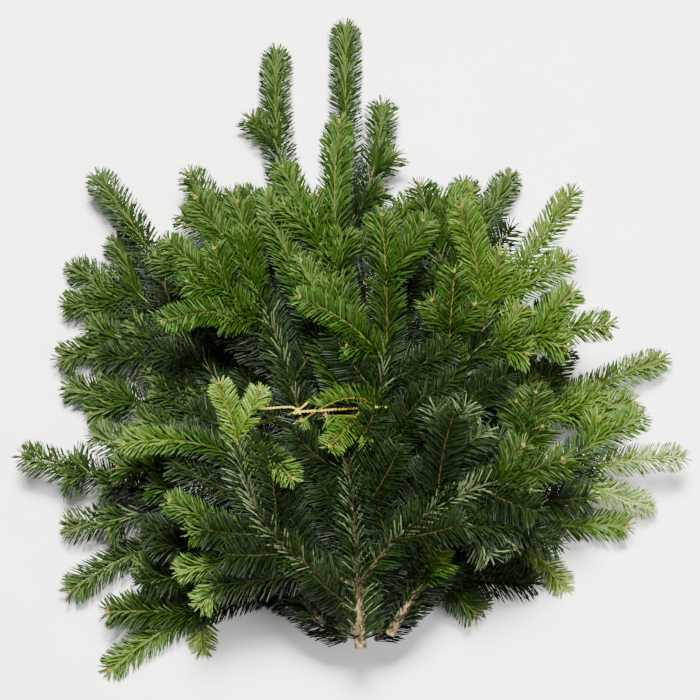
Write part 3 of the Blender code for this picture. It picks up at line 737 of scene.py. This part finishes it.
class Foliage:
    """Collects needles by tone and tint, twigs by age, and buds."""

    def __init__(self, shift, twine):
        self.shift = shift
        front = np.array([p for p in twine if p[2] > FRONT_Z])
        self.twine = front[np.argsort(front[:, 0])]
        self.needles = defaultdict(list)
        self.twigs = defaultdict(list)
        self.buds = []

    def near_twine(self, points, reach):
        """Whether each point is within reach of the twine's front, or hides it."""
        x, y, z = points.T
        height = np.interp(x, self.twine[:, 0], self.twine[:, 2])
        off = (y - BIND_Y) + PRESSED_LEAN * (z - height)
        in_front = (np.abs(off) < reach) & (z > height - PRESSED_DEPTH)
        return in_front & (x > PRESSED_FROM) & (x < PRESSED_TO)

    def pressed(self, base, way, size):
        """Whether each needle would cross the twine's front."""
        found = np.zeros(len(size), bool)
        for share in np.linspace(0, 1, 5):
            found |= self.near_twine(base + way * (size * share)[:, None], PRESSED_HALF_WIDTH)
        return found

    def clear_of_twine(self, twig):
        return not self.near_twine(twig.path(np.linspace(0, 1, 15)[:, None]), CLEAR_OF_TWIGS).any()

    def add_needles(self, tone, base, way, above, size, light, draw):
        shares = np.cumsum(TINT_SHARES[tone])
        tint = np.searchsorted(shares, light * LIGHT_GAIN - LIGHT_LOSS)
        tint[self.pressed(base, way, size)] = -1
        base = base + self.shift
        for k in range(len(TINTS[tone])):
            chosen = tint == k
            if chosen.any():
                points = needle_points(base[chosen], way[chosen], above[chosen], size[chosen], draw)
                self.needles[tone, k].append(points)

    def add_shoot(self, name, twig, t0, t1, age, draw):
        """One year of a twig with its needles."""
        tone = aged(twig.tone, age)
        thick = TWIG_RADII[min(age + (twig.order > 1), 2)]
        thin_end = TWIG_RADII[0] if age == 0 else thick * TWIG_TAPER

        def radius(s):
            return thick + (thin_end - thick) * s

        needles = needles_on(twig.path, t0, t1, habit_on(name, tone), radius, draw, tip=age == 0)
        self.add_needles(tone, *needles, draw)
        centre, along, _, _ = frames_along(twig.path, np.linspace(t0, t1, TWIG_RINGS))
        centre = centre + self.shift
        centre[:, 2] = np.maximum(centre[:, 2], FLOOR_ROOM + thick)
        radii = radius(np.linspace(0, 1, TWIG_RINGS))
        kind = "young" if age == 0 and twig.tone not in BUDLESS else "old"
        self.twigs[kind].append(capped_tube(centre, along, radii, TWIG_SIDES))

    def add_buds(self, path, t, draw):
        """A bud at the tip of a twig, with two smaller ones beside it."""
        centre, along, across, above = (v[0] for v in frames_along(path, np.array([t])))
        centre = centre + self.shift + above * BUD_LIFT
        centre[2] = max(centre[2], BUD_SIZE[1] + FLOOR_ROOM)
        for turn, size in ((0, 1), (-1, SIDE_BUD_SIZE), (1, SIDE_BUD_SIZE)):
            way = unit(along + across * turn * SIDE_BUD_LEAN + above * draw.uniform(*BUD_RISE))
            way[2] = max(way[2], 0.0)
            start = centre + across * turn * SIDE_BUD_STEP
            self.buds.append(bud_shape(start, unit(way), size * draw.uniform(*BUD_STRAY)))

    def grow(self, name, twigs):
        draw = np.random.default_rng(seed_of(name))
        for twig in twigs:
            end = 1 - TIP_ROOM / length_of(twig.path)
            for year in range(twig.years):
                t0, t1 = (end * share / twig.years for share in (year, year + 1))
                self.add_shoot(name, twig, t0, t1, twig.years - 1 - year, draw)
            if twig.tone not in BUDLESS:
                self.add_buds(twig.path, end, draw)


def bud_shape(start, way, size):
    """A blunt egg with overlapping scales, as rings that swell and shrink."""
    length, radius = (d * size for d in BUD_SIZE)
    shares, widths = np.array(BUD_PROFILE).T
    centres = start + np.outer(shares * length, way)
    along = np.repeat(way[None], len(shares), axis=0)
    return capped_tube(centres, along, radius * widths, BUD_SIDES)


def bough_needles(foliage, name, path):
    """Older needles that stand on a bough itself, from just above its foot."""
    draw = np.random.default_rng(seed_of(name + " needles"))
    length = length_of(path)
    start = max(BARE_FOOT.get(name, 0), foot_cut(name)) / length
    stretches = [(start, 1.0, BOUGH_PARTING)]
    if name == "front":
        stretches = [(start, SIDES_ONLY_TO, SIDES_ONLY_PARTING), (SIDES_ONLY_TO, 1.0, BOUGH_PARTING)]
    wood = wood_radius(name)
    # On the front boughs lighter raises the needles' lightness, so that more take the light tint:
    # painted glints.
    root_lean, lighter = (ROOT_LEAN, FRONT_PAINTED_GLINTS) if name in FRONT_BOUGHS else (0, 0)
    for t0, t1, parting in stretches:
        habit = TONES["dark"]._replace(density=BOUGH_DENSITY, parting=parting)
        radius = stretch_of(wood, t0, t1)
        *stands, light = needles_on(path, t0, t1, habit, radius, draw, tip=False, root_lean=root_lean)
        foliage.add_needles("dark", *stands, light + lighter, draw)


# Bark, cut ends and twine.


def foot_cut(name):
    """How much of a bough's foot is left out, which needles hide."""
    return 0 if name in FEET_IN_VIEW or name in SIDE_BOUGHS or name == "stub" else HIDDEN_FOOT


def bark_relief(t, length, seed):
    """How far the bark stands out in each ring and side, as a share of the radius."""
    relief = np.zeros((len(t), BARK_SIDES))
    for i, share in enumerate(t):
        for j, turn in enumerate(np.arange(BARK_SIDES) * math.tau / BARK_SIDES):
            for finely_round, finely_along, depth in BARK_LAYERS:
                x, y = math.cos(turn) * finely_round, math.sin(turn) * finely_round
                z = share * length / MM * finely_along + seed
                relief[i, j] += depth * noise.noise(Vector((x, y, z)))
    return relief


def bark_tube(name, wood, path, swellings, shift):
    """A bough with its bark's relief, and a swelling where a spray leaves."""
    length = length_of(path)
    count = int(length / BARK_STEP)
    t = np.linspace(foot_cut(name) / length, 1, count)
    centre, along, _, _ = frames_along(path, t)
    radius = wood(t)
    for seat, swell in swellings:
        radius = radius * (1 + swell * np.exp(-(((t - seat) * length / SWELL_REACH) ** 2)))
    outward = tube_rings(centre, along, np.ones(count), BARK_SIDES) - centre[:, None]
    scale = radius[:, None] * (1 + bark_relief(t, length, seed_of(name) % BARK_SEEDS))
    points = centre[:, None] + outward * scale[:, :, None] + shift
    return points.reshape(-1, 3), ring_faces(count, BARK_SIDES)


def stub_path(front):
    start = front(STUB_SEAT)
    end = start + unit(np.array(STUB_WAY)) * STUB_LENGTH
    return bend(start, (start + end) / 2, end)


def cut_end(path, t, radius, facing, seed, shift):
    """The sawn face of a bough, with its rings as low steps."""
    centre, along, _, _ = frames_along(path, np.array([t]))
    way = along[0] * facing
    count = len(CUT_PROFILE)
    rings = np.array([centre[0] + way * height * MM for _, height in CUT_PROFILE])
    radii = [radius * share for share, _ in CUT_PROFILE]
    draw = np.random.default_rng(seed)
    points = tube_rings(rings, np.repeat(way[None], count, axis=0), radii, BARK_SIDES)
    points = points + (way * draw.normal(0, SAW_MARKS, points.shape[:2])[..., None])
    points = np.concatenate([points.reshape(-1, 3), rings[-1:]]) + shift
    k = (count - 1) * BARK_SIDES + np.arange(BARK_SIDES)
    middle = np.stack([k, np.roll(k, -1), np.full(BARK_SIDES, len(points) - 1)], -1)
    return points, np.concatenate([ring_faces(count, BARK_SIDES), middle])


def crossing(path):
    """The share of a bough's path at which it passes the twine."""
    low, high = 0.0, 1.0
    for _ in range(30):
        middle = (low + high) / 2
        low, high = (middle, high) if path(middle)[1] < BIND_Y else (low, middle)
    return low


def twine_line(paths):
    """The tight loop round the boughs that pass the twine."""
    rounds = []
    for name, path in paths.items():
        if path(1)[1] > BIND_Y + TWINE_RADIUS:
            t = crossing(path)
            around = bough_radius(BOUGHS[name])(t) / heading(path, t)[1]
            rounds.append((path(t), around + TWINE_RADIUS + GAP))
    line = []
    for k in range(TWINE_TURNS):
        a = math.tau * k / TWINE_TURNS
        out = np.array([math.cos(a), 0, math.sin(a)])
        centre, reach = max(rounds, key=lambda r: r[0] @ out + r[1])
        line.append(centre + reach * out)
    return line


def resampled(line, step, closed):
    """Places a step apart on a smooth curve through the places of line."""
    line = np.array(line)
    if closed:
        line = np.concatenate([line, line[:1]])
    walked = np.concatenate([[0], np.cumsum(np.linalg.norm(np.diff(line, axis=0), axis=1))])
    count = int(walked[-1] / step)
    s = np.linspace(0, walked[-1], count + 1)[: count if closed else count + 1]
    points = np.stack([np.interp(s, walked, line[:, k]) for k in range(3)], axis=1)
    for _ in range(SMOOTHINGS):
        smooth = (np.roll(points, 1, axis=0) + 2 * points + np.roll(points, -1, axis=0)) / 4
        if not closed:
            smooth[[0, -1]] = points[[0, -1]]
        points = smooth
    return points


def strands(line, radius, twist, closed):
    """The plies of a twisted twine along a line."""
    points = resampled(line, PLY_STEP, closed)
    count = len(points)
    ahead = np.roll(points, -1, axis=0) - np.roll(points, 1, axis=0)
    if not closed:
        ahead[0], ahead[-1] = points[1] - points[0], points[-1] - points[-2]
    along = unit(ahead)
    length = np.linalg.norm(np.diff(points, axis=0), axis=1).sum()
    twists = max(1, round(length / twist))
    side = tube_rings(points, along, np.ones(count), 4)[:, 0] - points
    other = np.cross(along, side)
    shapes = []
    for ply in range(PLIES):
        angle = math.tau * (twists * np.arange(count) / count + ply / PLIES)
        off = np.cos(angle)[:, None] * side + np.sin(angle)[:, None] * other
        centres = points + radius * PLY_OFFSET * off
        shapes.append(capped_tube(centres, along, np.full(count, radius * PLY_RADIUS), PLY_SIDES))
    return shapes


def knot_shapes(knot):
    """A flat overhand knot: two small loops round the doubled twine."""
    shapes = []
    for shift, tilt in KNOT_LOOPS:
        loop = []
        for a in np.linspace(0, math.tau, 33)[:-1]:
            y, z = KNOT_RADIUS * math.cos(a), KNOT_LIFT + KNOT_RADIUS * math.sin(a)
            loop.append(knot + place((shift + tilt * KNOT_LEAN * math.sin(a), y, z)))
        shapes.extend(strands(loop, TWINE_RADIUS * KNOT_THINNER, TWIST, closed=True))
    return shapes


def twine_shapes(paths, shift):
    line = twine_line(paths)
    knot = min((p for p in line if p[2] > FRONT_Z), key=lambda p: abs(p[0] - KNOT_X))
    shapes = strands(line, TWINE_RADIUS, TWIST, closed=True) + knot_shapes(knot)
    for end in TWINE_ENDS:
        tail = [knot + place(step) for step in end]
        shapes.extend(strands(tail, TWINE_RADIUS * END_THINNER, END_TWIST, closed=False))
    points, faces = joined(shapes)
    return points + shift, faces


# Materials. A finish has a grain, the scale and detail of the noise that spreads its colours, and a
# relief, those of a finer noise with its strength and depth in metres, then roughness and shine.
FINISHES = {
    "twig": ((260, 3), (1200, 2, 0.5, 0.0004), 0.6, 0.1),
    "bark": ((240, 7), (700, 5, 0.8, 0.0010), 0.8, 0.15),
    "cut": ((420, 4), (1500, 3, 0.4, 0.0004), 0.7, 0.15),
    "bud": ((500, 3), (1500, 2, 0.4, 0.0004), 0.45, 0.12),
    "twine": ((380, 4), (1800, 4, 0.5, 0.0003), 0.55, 0.15),
    "floor": ((14, 2), None, 0.75, 0.5),
}
NEEDLE_TEXTURE = ((160, 2), (900, 2, 0.15, 0.0002))
TOP_ROUGHNESS, UNDER_ROUGHNESS = 0.40, 0.60
# How dark and how light a needle gets from place to place, as shares of its colour.
NEEDLE_SHADES = (0.84, 1.16)
TWIG_COLOURS = {
    "young": ((0.3, (0.045, 0.041, 0.005)), (0.7, (0.125, 0.112, 0.018))),
    "old": ((0.3, (0.014, 0.011, 0.003)), (0.7, (0.048, 0.037, 0.011))),
}
BARK_COLOURS = {
    "bark": (
        (0.34, (0.016, 0.012, 0.005)), (0.46, (0.045, 0.033, 0.015)),
        (0.56, (0.110, 0.082, 0.042)), (0.68, (0.230, 0.180, 0.110)),
    ),
    "young_bark": (
        (0.34, (0.012, 0.009, 0.003)), (0.50, (0.036, 0.026, 0.010)), (0.66, (0.095, 0.070, 0.032)),
    ),
}
CUT_COLOURS = {
    "cut_wood": ((0.3, (0.13, 0.060, 0.020)), (0.55, (0.22, 0.120, 0.055)), (0.8, (0.30, 0.200, 0.110))),
    "shaded_wood": ((0.3, (0.010, 0.008, 0.004)), (0.7, (0.030, 0.022, 0.010))),
    "old_wood": ((0.3, (0.040, 0.029, 0.015)), (0.7, (0.105, 0.080, 0.048))),
}
BUD_COLOURS = ((0.3, (0.095, 0.070, 0.010)), (0.7, (0.19, 0.145, 0.024)))
TWINE_COLOURS = ((0.3, (0.28, 0.225, 0.016)), (0.7, (0.58, 0.50, 0.060)))
FLOOR_COLOURS = ((0.3, (0.88, 0.88, 0.88)), (0.7, (0.91, 0.91, 0.91)))


def add_noise(tree, place, scale, detail):
    node = tree.nodes.new("ShaderNodeTexNoise")
    node.inputs["Scale"].default_value = scale
    node.inputs["Detail"].default_value = detail
    tree.links.new(place, node.inputs["Vector"])
    return node.outputs["Fac"]


def grained(name, colours, grain, relief, roughness, shine):
    """A material whose colours are spread by one noise, with a finer one as its relief."""
    material = bpy.data.materials.new(name)
    material.use_nodes = True
    tree = material.node_tree
    shader = tree.nodes["Principled BSDF"]
    shader.inputs["Roughness"].default_value = roughness
    shader.inputs["Specular IOR Level"].default_value = shine
    place = tree.nodes.new("ShaderNodeTexCoord").outputs["Object"]
    ramp = tree.nodes.new("ShaderNodeValToRGB")
    stops = ramp.color_ramp.elements
    while len(stops) < len(colours):
        stops.new(0.5)
    for stop, (position, colour) in zip(stops, colours):
        stop.position = position
        stop.color = (*colour, 1)
    tree.links.new(add_noise(tree, place, *grain), ramp.inputs["Fac"])
    tree.links.new(ramp.outputs["Color"], shader.inputs["Base Color"])
    if relief:
        scale, detail, strength, depth = relief
        bump = tree.nodes.new("ShaderNodeBump")
        bump.inputs["Strength"].default_value = strength
        bump.inputs["Distance"].default_value = depth
        tree.links.new(add_noise(tree, place, scale, detail), bump.inputs["Height"])
        tree.links.new(bump.outputs["Normal"], shader.inputs["Normal"])
    return material


def needle_material(name, colour, roughness, shine):
    """A waxy needle of one tint, a little lighter and darker from place to place."""
    darker, lighter = (tuple(min(1.0, c * share) for c in colour) for share in NEEDLE_SHADES)
    return grained(name, ((0.3, darker), (0.7, lighter)), *NEEDLE_TEXTURE, roughness, shine)


# The pieces.


def swellings_of(name):
    """Where a bough swells, and how much."""
    sprays = [spray for spray in SPRAYS.values() if spray.bough == name and spray.seat < 1]
    found = [(spray.seat, SEAT_SWELL) for spray in sprays]
    return found + [FRONT_NODE] if name == "front" else found


def make_boughs(paths, shift):
    """The boughs in bark, old wood first, and their cut ends in the woods of CUT_COLOURS."""
    tubes, ends, young, woods = [], [], [], []
    for name, path in paths.items():
        wood = wood_radius(name)
        tubes.append(bark_tube(name, wood, path, swellings_of(name), shift))
        count = len(tubes[-1][1])
        young.append(np.arange(count) > (0 if name in SIDE_BOUGHS else SLIM_FROM) * count)
        if name not in SIDE_BOUGHS:
            foot = foot_cut(name) / length_of(path)
            ends.append(cut_end(path, foot, wood(foot), -1, seed_of(name), shift))
            woods.append(np.full(len(ends[-1][1]), 0 if name in FEET_IN_VIEW else 1))
    stub = stub_path(paths["front"])
    wide, narrow = (r * MM for r in STUB_RADII)
    tubes.append(bark_tube("stub", lambda t: wide + (narrow - wide) * t, stub, [], shift))
    young.append(np.zeros(len(tubes[-1][1]), bool))
    ends.append(cut_end(stub, 1.0, narrow, 1, seed_of("stub"), shift))
    woods.append(np.full(len(ends[-1][1]), 2))
    replaced = ["bough_" + name for name in paths]
    barks = [grained(bark, colours, *FINISHES["bark"]) for bark, colours in BARK_COLOURS.items()]
    cuts = [grained(wood, colours, *FINISHES["cut"]) for wood, colours in CUT_COLOURS.items()]
    make_piece("boughs", *joined(tubes), barks, "bark", replaced, np.concatenate(young))
    make_piece("cut_ends", *joined(ends), cuts, "bark", replaced, np.concatenate(woods))


def grow_foliage(paths, shift):
    foliage = Foliage(shift, twine_line(paths))
    for name, spray in SPRAYS.items():
        foliage.grow(name, spray_twigs(name, spray, paths[spray.bough]))
    for name, path in paths.items():
        foliage.grow(name + " inner", filter(foliage.clear_of_twine, inner_twigs(name, path)))
        bough_needles(foliage, name, path)
    for name in INNER_SPRAYS:
        path = main_path(SPRAYS[name], paths[SPRAYS[name].bough])
        foliage.grow(name + " inner", inner_twigs(name, path, "green"))
    return foliage


def make_needles(needles):
    """A piece for each tint of each tone, which replaces the sprays that have shoots of the tone."""
    for (tone, k), found in sorted(needles.items()):
        points = np.concatenate(found)
        count, each = points.shape[:2]
        faces = (NEEDLE_FACES[None] + each * np.arange(count)[:, None, None]).reshape(-1, 3)
        slots = np.tile(NEEDLE_SLOTS, count)
        name = f"needles_{tone}_{k + 1}"
        look = TONES[tone]
        top = needle_material(name, TINTS[tone][k], TOP_ROUGHNESS, look.shine)
        under = needle_material(name + "_under", look.underside, UNDER_ROUGHNESS, look.shine)
        replaced = ["spray_" + n for n, spray in SPRAYS.items() if tone in tones_of(spray)]
        places = points.reshape(-1, 3)
        make_piece(name, places, faces, [top, under], look.slot, replaced, slots, NEEDLE_CREASE)


def make_foliage(paths, shift):
    foliage = grow_foliage(paths, shift)
    make_needles(foliage.needles)
    sprays = ["spray_" + name for name in SPRAYS]
    for age, shapes in foliage.twigs.items():
        wood = grained("twig_" + age, TWIG_COLOURS[age], *FINISHES["twig"])
        make_piece("twigs_" + age, *joined(shapes), [wood], "bark", sprays)
    scales = grained("bud_scales", BUD_COLOURS, *FINISHES["bud"])
    make_piece("buds", *joined(foliage.buds), [scales], "bark", sprays)


def frame_shift(paths):
    """How far the solids were moved, read from the front bough's box."""
    path, bough = paths["front"], BOUGHS["front"]
    t = np.linspace(0, 1, 10)
    centre, along, _, _ = frames_along(path, t)
    low = tube_rings(centre, along, bough_radius(bough)(t), 8).reshape(-1, 3).min(axis=0)
    return np.array(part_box("bough_front")[0]) - low


FLOOR_SIZE = 8


def make_floor():
    bpy.ops.mesh.primitive_plane_add(size=FLOOR_SIZE, location=(0, 0, 0))
    floor = bpy.context.object
    floor.name = "floor"
    floor.data.materials.append(grained("floor_paper", FLOOR_COLOURS, *FINISHES["floor"]))


ROOM_LIGHT = 0.09
LIT_PLACE = Vector((0, 0, 0.1))


def add_aimed(name, data, location, way):
    """A lamp or a camera at a location, which looks along a way."""
    made = add_object(name, data)
    made.location = location
    made.rotation_euler = Vector(way).to_track_quat("-Z", "Y").to_euler()
    return made


def add_light(name, location, size, energy, colour=(1, 1, 1)):
    data = bpy.data.lights.new(name, "AREA")
    data.shape = "DISK"
    data.size = size
    data.energy = energy
    data.color = colour
    add_aimed(name, data, location, LIT_PLACE - Vector(location))


def make_light():
    """A white room, a lamp high over the bunch and a weaker one from the lower right."""
    world = bpy.data.worlds.new("studio")
    world.use_nodes = True
    background = world.node_tree.nodes["Background"]
    background.inputs["Color"].default_value = (1, 1, 1, 1)
    background.inputs["Strength"].default_value = ROOM_LIGHT
    bpy.context.scene.world = world
    add_light("key", (0.0, 0.30, 2.30), size=0.65, energy=305, colour=(1, 0.98, 0.95))
    add_light("fill", (1.3, -0.9, 1.8), size=1.4, energy=45)


# The camera looks down on the bunch at the photo's angle.
CAMERA_ELEVATION = math.radians(72)
CAMERA_DISTANCE = 1.90
CAMERA_HEIGHT = 100 * MM
CAMERA_LENS = 97.7


def make_camera(shift):
    target = np.array([0, 0, CAMERA_HEIGHT]) + shift
    back = np.array([0, -math.cos(CAMERA_ELEVATION), math.sin(CAMERA_ELEVATION)])
    data = bpy.data.cameras.new("camera")
    data.lens = CAMERA_LENS
    data.sensor_width = 36
    data.clip_end = 20
    camera = add_aimed("camera", data, target + back * CAMERA_DISTANCE, -back)
    bpy.context.scene.camera = camera


def main():
    paths = grow_boughs()
    shift = frame_shift(paths)
    make_boughs(paths, shift)
    make_foliage(paths, shift)
    fibre = grained("twine_fibre", TWINE_COLOURS, *FINISHES["twine"])
    make_piece("twine_strands", *twine_shapes(paths, shift), [fibre], "twine", ["twine"])
    make_floor()
    make_light()
    make_camera(shift)


main()
